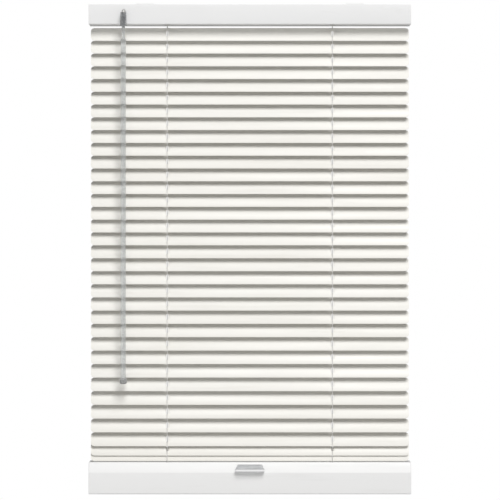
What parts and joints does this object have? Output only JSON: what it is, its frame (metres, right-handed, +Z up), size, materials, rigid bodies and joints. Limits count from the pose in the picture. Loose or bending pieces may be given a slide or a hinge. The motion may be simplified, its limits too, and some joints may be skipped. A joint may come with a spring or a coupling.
{
  "type": "venetian mini blind",
  "caption": "Cordless venetian blind with crowned slats on ladder cords, worm tilter with hanging wand, spring lift in the headrail and a bottom rail with a centre handle.",
  "frame": {"origin": "centre of the ceiling plane of the headrail, midway between the two brackets", "axes": "+Z up, -Y is the room side with the wand, +X to the right of a viewer in the room"},
  "size_m": [0.528, 0.0549, 0.804],
  "materials": {
    "slat": "satin cream vinyl",
    "headrail": "smooth white baked enamel",
    "white_plastic": "satin white moulding",
    "bracket": "white enamel",
    "mechanism_plastic": "natural white acetal",
    "tilt_rod": "zinc plated",
    "spring": "spring steel drum",
    "cord": "braided polyester",
    "clear_plastic": "clear moulded plastic",
    "rail": "satin white extrusion",
    "frosted_plastic": "frosted moulded plastic"
  },
  "bodies": {
    "headrail_frame": {"headrail": "headrail", "headrail_end_caps": "white_plastic", "mounting_brackets": "bracket", "tilter_housing": "mechanism_plastic", "rod_cradles": "mechanism_plastic", "motor_case": "mechanism_plastic", "lift_cords": "cord"},
    "tilt_shaft": {"tilt_rod": "tilt_rod", "tilt_gear": "mechanism_plastic", "ladder_rockers": "mechanism_plastic"},
    "worm_shaft": {"tilter_worm": "mechanism_plastic"},
    "wand_hanger": {"wand_coupler": "clear_plastic"},
    "wand": {"wand_rod": "clear_plastic", "wand_tip": "clear_plastic"},
    "ladder_front": {"ladder_cords_front": "cord"},
    "ladder_back": {"ladder_cords_back": "cord"},
    "left_spool": {"spool_left": "mechanism_plastic"},
    "right_spool": {"spool_right": "mechanism_plastic"},
    "spring_barrel": {"spring_drum": "spring"},
    "rail": {"bottom_rail": "rail", "rail_end_caps": "white_plastic", "lift_handle": "frosted_plastic", "cord_grommets": "white_plastic"},
    "carrier_30": {"lift_cord_seg_30": "cord"},
    "carrier_31": {"lift_cord_seg_31": "cord"},
    "carrier_32": {"lift_cord_seg_32": "cord"},
    "slat_01_body": {"slat_01": "slat"},
    "slat_02_body": {"slat_02": "slat"},
    "slat_03_body": {"slat_03": "slat"},
    "slat_04_body": {"slat_04": "slat"},
    "slat_05_body": {"slat_05": "slat"},
    "slat_06_body": {"slat_06": "slat"},
    "slat_07_body": {"slat_07": "slat"},
    "slat_08_body": {"slat_08": "slat"},
    "slat_09_body": {"slat_09": "slat"},
    "slat_10_body": {"slat_10": "slat"},
    "slat_11_body": {"slat_11": "slat"},
    "slat_12_body": {"slat_12": "slat"},
    "slat_13_body": {"slat_13": "slat"},
    "slat_14_body": {"slat_14": "slat"},
    "slat_15_body": {"slat_15": "slat"},
    "slat_16_body": {"slat_16": "slat"},
    "slat_17_body": {"slat_17": "slat"},
    "slat_18_body": {"slat_18": "slat"},
    "slat_19_body": {"slat_19": "slat"},
    "slat_20_body": {"slat_20": "slat"},
    "slat_21_body": {"slat_21": "slat"},
    "slat_22_body": {"slat_22": "slat"},
    "slat_23_body": {"slat_23": "slat"},
    "slat_24_body": {"slat_24": "slat"},
    "slat_25_body": {"slat_25": "slat"},
    "slat_26_body": {"slat_26": "slat"},
    "slat_27_body": {"slat_27": "slat"},
    "slat_28_body": {"slat_28": "slat"},
    "slat_29_body": {"slat_29": "slat"},
    "slat_30_body": {"slat_30": "slat"},
    "slat_31_body": {"slat_31": "slat"},
    "slat_32_body": {"slat_32": "slat"},
    "slat_33_body": {"slat_33": "slat"},
    "slat_34_body": {"slat_34": "slat"}
  },
  "joints": [
    {"name": "tilt", "type": "hinge", "parent": "headrail_frame", "child": "tilt_shaft", "pos_m": [0, 0, -0.016], "axis": [-1, 0, 0], "range_deg": [0, 120]},
    {"name": "ladder_front_swing", "type": "hinge", "parent": "tilt_shaft", "child": "ladder_front", "pos_m": [0, -0.00725, -0.02856], "axis": [-1, 0, 0], "range_deg": [-121, 0]},
    {"name": "ladder_back_swing", "type": "hinge", "parent": "tilt_shaft", "child": "ladder_back", "pos_m": [0, 0.00725, -0.00344], "axis": [-1, 0, 0], "range_deg": [-121, 0]},
    {"name": "worm_spin", "type": "hinge", "parent": "headrail_frame", "child": "worm_shaft", "pos_m": [-0.2068, -0.00446, -0.00644], "axis": [0, -0.9063, -0.4226], "range_deg": [0, 2165]},
    {"name": "wand_swing", "type": "hinge", "parent": "headrail_frame", "child": "wand_hanger", "pos_m": [-0.2068, -0.027, -0.01695], "axis": [-1, 0, 0], "range_deg": [0, 60]},
    {"name": "wand_spin", "type": "hinge", "parent": "wand_hanger", "child": "wand", "pos_m": [-0.2068, -0.027, -0.04], "axis": [0, 0, -1], "range_deg": [0, 2165]},
    {"name": "rail_lift", "type": "slide", "parent": "headrail_frame", "child": "rail", "axis": [0, 0, 1], "range_m": [0, 0.0705], "deforming": ["lift_cords", "ladder_cords_front", "ladder_cords_back"]},
    {"name": "slat_30_rise", "type": "slide", "parent": "headrail_frame", "child": "carrier_30", "axis": [0, 0, 1], "range_m": [0, 0.0199]},
    {"name": "slat_31_rise", "type": "slide", "parent": "headrail_frame", "child": "carrier_31", "axis": [0, 0, 1], "range_m": [0, 0.0393]},
    {"name": "slat_32_rise", "type": "slide", "parent": "headrail_frame", "child": "carrier_32", "axis": [0, 0, 1], "range_m": [0, 0.0587]},
    {"name": "left_spool_spin", "type": "hinge", "parent": "headrail_frame", "child": "left_spool", "pos_m": [-0.028, 0, -0.027], "axis": [0, 0, 1], "range_deg": [0, 475]},
    {"name": "spring_spin", "type": "hinge", "parent": "headrail_frame", "child": "spring_barrel", "pos_m": [0, 0, -0.027], "axis": [0, 0, 1], "range_deg": [-475, 0]},
    {"name": "right_spool_spin", "type": "hinge", "parent": "headrail_frame", "child": "right_spool", "pos_m": [0.028, 0, -0.027], "axis": [0, 0, 1], "range_deg": [0, 475]},
    {"name": "slat_01_tilt", "type": "hinge", "parent": "headrail_frame", "child": "slat_01_body", "pos_m": [0, 0, -0.0491], "axis": [-1, 0, 0], "range_deg": [-0.5, 121]},
    {"name": "slat_02_tilt", "type": "hinge", "parent": "headrail_frame", "child": "slat_02_body", "pos_m": [0, 0, -0.07012], "axis": [-1, 0, 0], "range_deg": [-0.5, 121]},
    {"name": "slat_03_tilt", "type": "hinge", "parent": "headrail_frame", "child": "slat_03_body", "pos_m": [0, 0, -0.09114], "axis": [-1, 0, 0], "range_deg": [-0.5, 121]},
    {"name": "slat_04_tilt", "type": "hinge", "parent": "headrail_frame", "child": "slat_04_body", "pos_m": [0, 0, -0.11216], "axis": [-1, 0, 0], "range_deg": [-0.5, 121]},
    {"name": "slat_05_tilt", "type": "hinge", "parent": "headrail_frame", "child": "slat_05_body", "pos_m": [0, 0, -0.13318], "axis": [-1, 0, 0], "range_deg": [-0.5, 121]},
    {"name": "slat_06_tilt", "type": "hinge", "parent": "headrail_frame", "child": "slat_06_body", "pos_m": [0, 0, -0.1542], "axis": [-1, 0, 0], "range_deg": [-0.5, 121]},
    {"name": "slat_07_tilt", "type": "hinge", "parent": "headrail_frame", "child": "slat_07_body", "pos_m": [0, 0, -0.17522], "axis": [-1, 0, 0], "range_deg": [-0.5, 121]},
    {"name": "slat_08_tilt", "type": "hinge", "parent": "headrail_frame", "child": "slat_08_body", "pos_m": [0, 0, -0.19624], "axis": [-1, 0, 0], "range_deg": [-0.5, 121]},
    {"name": "slat_09_tilt", "type": "hinge", "parent": "headrail_frame", "child": "slat_09_body", "pos_m": [0, 0, -0.21726], "axis": [-1, 0, 0], "range_deg": [-0.5, 121]},
    {"name": "slat_10_tilt", "type": "hinge", "parent": "headrail_frame", "child": "slat_10_body", "pos_m": [0, 0, -0.23828], "axis": [-1, 0, 0], "range_deg": [-0.5, 121]},
    {"name": "slat_11_tilt", "type": "hinge", "parent": "headrail_frame", "child": "slat_11_body", "pos_m": [0, 0, -0.2593], "axis": [-1, 0, 0], "range_deg": [-0.5, 121]},
    {"name": "slat_12_tilt", "type": "hinge", "parent": "headrail_frame", "child": "slat_12_body", "pos_m": [0, 0, -0.28032], "axis": [-1, 0, 0], "range_deg": [-0.5, 121]},
    {"name": "slat_13_tilt", "type": "hinge", "parent": "headrail_frame", "child": "slat_13_body", "pos_m": [0, 0, -0.30134], "axis": [-1, 0, 0], "range_deg": [-0.5, 121]},
    {"name": "slat_14_tilt", "type": "hinge", "parent": "headrail_frame", "child": "slat_14_body", "pos_m": [0, 0, -0.32236], "axis": [-1, 0, 0], "range_deg": [-0.5, 121]},
    {"name": "slat_15_tilt", "type": "hinge", "parent": "headrail_frame", "child": "slat_15_body", "pos_m": [0, 0, -0.34338], "axis": [-1, 0, 0], "range_deg": [-0.5, 121]},
    {"name": "slat_16_tilt", "type": "hinge", "parent": "headrail_frame", "child": "slat_16_body", "pos_m": [0, 0, -0.3644], "axis": [-1, 0, 0], "range_deg": [-0.5, 121]},
    {"name": "slat_17_tilt", "type": "hinge", "parent": "headrail_frame", "child": "slat_17_body", "pos_m": [0, 0, -0.38553], "axis": [-1, 0, 0], "range_deg": [-0.5, 121]},
    {"name": "slat_18_tilt", "type": "hinge", "parent": "headrail_frame", "child": "slat_18_body", "pos_m": [0, 0, -0.40677], "axis": [-1, 0, 0], "range_deg": [-0.5, 121]},
    {"name": "slat_19_tilt", "type": "hinge", "parent": "headrail_frame", "child": "slat_19_body", "pos_m": [0, 0, -0.42812], "axis": [-1, 0, 0], "range_deg": [-0.5, 121]},
    {"name": "slat_20_tilt", "type": "hinge", "parent": "headrail_frame", "child": "slat_20_body", "pos_m": [0, 0, -0.44958], "axis": [-1, 0, 0], "range_deg": [-0.5, 121]},
    {"name": "slat_21_tilt", "type": "hinge", "parent": "headrail_frame", "child": "slat_21_body", "pos_m": [0, 0, -0.47115], "axis": [-1, 0, 0], "range_deg": [-0.5, 121]},
    {"name": "slat_22_tilt", "type": "hinge", "parent": "headrail_frame", "child": "slat_22_body", "pos_m": [0, 0, -0.49283], "axis": [-1, 0, 0], "range_deg": [-0.5, 121]},
    {"name": "slat_23_tilt", "type": "hinge", "parent": "headrail_frame", "child": "slat_23_body", "pos_m": [0, 0, -0.51462], "axis": [-1, 0, 0], "range_deg": [-0.5, 121]},
    {"name": "slat_24_tilt", "type": "hinge", "parent": "headrail_frame", "child": "slat_24_body", "pos_m": [0, 0, -0.53652], "axis": [-1, 0, 0], "range_deg": [-0.5, 121]},
    {"name": "slat_25_tilt", "type": "hinge", "parent": "headrail_frame", "child": "slat_25_body", "pos_m": [0, 0, -0.55853], "axis": [-1, 0, 0], "range_deg": [-0.5, 121]},
    {"name": "slat_26_tilt", "type": "hinge", "parent": "headrail_frame", "child": "slat_26_body", "pos_m": [0, 0, -0.58065], "axis": [-1, 0, 0], "range_deg": [-0.5, 121]},
    {"name": "slat_27_tilt", "type": "hinge", "parent": "headrail_frame", "child": "slat_27_body", "pos_m": [0, 0, -0.60288], "axis": [-1, 0, 0], "range_deg": [-0.5, 121]},
    {"name": "slat_28_tilt", "type": "hinge", "parent": "headrail_frame", "child": "slat_28_body", "pos_m": [0, 0, -0.62522], "axis": [-1, 0, 0], "range_deg": [-0.5, 121]},
    {"name": "slat_29_tilt", "type": "hinge", "parent": "headrail_frame", "child": "slat_29_body", "pos_m": [0, 0, -0.64767], "axis": [-1, 0, 0], "range_deg": [-0.5, 121]},
    {"name": "slat_30_tilt", "type": "hinge", "parent": "carrier_30", "child": "slat_30_body", "pos_m": [0, 0, -0.67023], "axis": [-1, 0, 0], "range_deg": [-0.5, 121]},
    {"name": "slat_31_tilt", "type": "hinge", "parent": "carrier_31", "child": "slat_31_body", "pos_m": [0, 0, -0.6929], "axis": [-1, 0, 0], "range_deg": [-0.5, 121]},
    {"name": "slat_32_tilt", "type": "hinge", "parent": "carrier_32", "child": "slat_32_body", "pos_m": [0, 0, -0.71568], "axis": [-1, 0, 0], "range_deg": [-0.5, 121]},
    {"name": "slat_33_tilt", "type": "hinge", "parent": "rail", "child": "slat_33_body", "pos_m": [0, 0, -0.73118], "axis": [-1, 0, 0], "range_deg": [-0.5, 121]},
    {"name": "slat_34_tilt", "type": "hinge", "parent": "rail", "child": "slat_34_body", "pos_m": [0, 0, -0.74008], "axis": [-1, 0, 0], "range_deg": [-0.5, 121]}
  ],
  "couplings": [
    {"joint": "ladder_front_swing", "follows": "tilt", "ratio": -1},
    {"joint": "ladder_back_swing", "follows": "tilt", "ratio": -1},
    {"joint": "worm_spin", "follows": "tilt", "ratio": 18},
    {"joint": "wand_spin", "follows": "tilt", "ratio": 18},
    {"joint": "slat_30_rise", "follows": "rail_lift", "ratio": 0.27518},
    {"joint": "slat_31_rise", "follows": "rail_lift", "ratio": 0.55036},
    {"joint": "slat_32_rise", "follows": "rail_lift", "ratio": 0.82553},
    {"joint": "left_spool_spin", "follows": "rail_lift", "rad_per_m": 116.28},
    {"joint": "spring_spin", "follows": "rail_lift", "rad_per_m": -116.28},
    {"joint": "right_spool_spin", "follows": "rail_lift", "rad_per_m": 116.28},
    {"joint": "slat_01_tilt", "follows": "tilt", "ratio": 1},
    {"joint": "slat_02_tilt", "follows": "tilt", "ratio": 1},
    {"joint": "slat_03_tilt", "follows": "tilt", "ratio": 1},
    {"joint": "slat_04_tilt", "follows": "tilt", "ratio": 1},
    {"joint": "slat_05_tilt", "follows": "tilt", "ratio": 1},
    {"joint": "slat_06_tilt", "follows": "tilt", "ratio": 1},
    {"joint": "slat_07_tilt", "follows": "tilt", "ratio": 1},
    {"joint": "slat_08_tilt", "follows": "tilt", "ratio": 1},
    {"joint": "slat_09_tilt", "follows": "tilt", "ratio": 1},
    {"joint": "slat_10_tilt", "follows": "tilt", "ratio": 1},
    {"joint": "slat_11_tilt", "follows": "tilt", "ratio": 1},
    {"joint": "slat_12_tilt", "follows": "tilt", "ratio": 1},
    {"joint": "slat_13_tilt", "follows": "tilt", "ratio": 1},
    {"joint": "slat_14_tilt", "follows": "tilt", "ratio": 1},
    {"joint": "slat_15_tilt", "follows": "tilt", "ratio": 1},
    {"joint": "slat_16_tilt", "follows": "tilt", "ratio": 1},
    {"joint": "slat_17_tilt", "follows": "tilt", "ratio": 1},
    {"joint": "slat_18_tilt", "follows": "tilt", "ratio": 1},
    {"joint": "slat_19_tilt", "follows": "tilt", "ratio": 1},
    {"joint": "slat_20_tilt", "follows": "tilt", "ratio": 1},
    {"joint": "slat_21_tilt", "follows": "tilt", "ratio": 1},
    {"joint": "slat_22_tilt", "follows": "tilt", "ratio": 1},
    {"joint": "slat_23_tilt", "follows": "tilt", "ratio": 1},
    {"joint": "slat_24_tilt", "follows": "tilt", "ratio": 1},
    {"joint": "slat_25_tilt", "follows": "tilt", "ratio": 1},
    {"joint": "slat_26_tilt", "follows": "tilt", "ratio": 1},
    {"joint": "slat_27_tilt", "follows": "tilt", "ratio": 1},
    {"joint": "slat_28_tilt", "follows": "tilt", "ratio": 1},
    {"joint": "slat_29_tilt", "follows": "tilt", "ratio": 1},
    {"joint": "slat_30_tilt", "follows": "tilt", "ratio": 1},
    {"joint": "slat_31_tilt", "follows": "tilt", "ratio": 1},
    {"joint": "slat_32_tilt", "follows": "tilt", "ratio": 1},
    {"joint": "slat_33_tilt", "follows": "tilt", "ratio": 1},
    {"joint": "slat_34_tilt", "follows": "tilt", "ratio": 1}
  ]
}
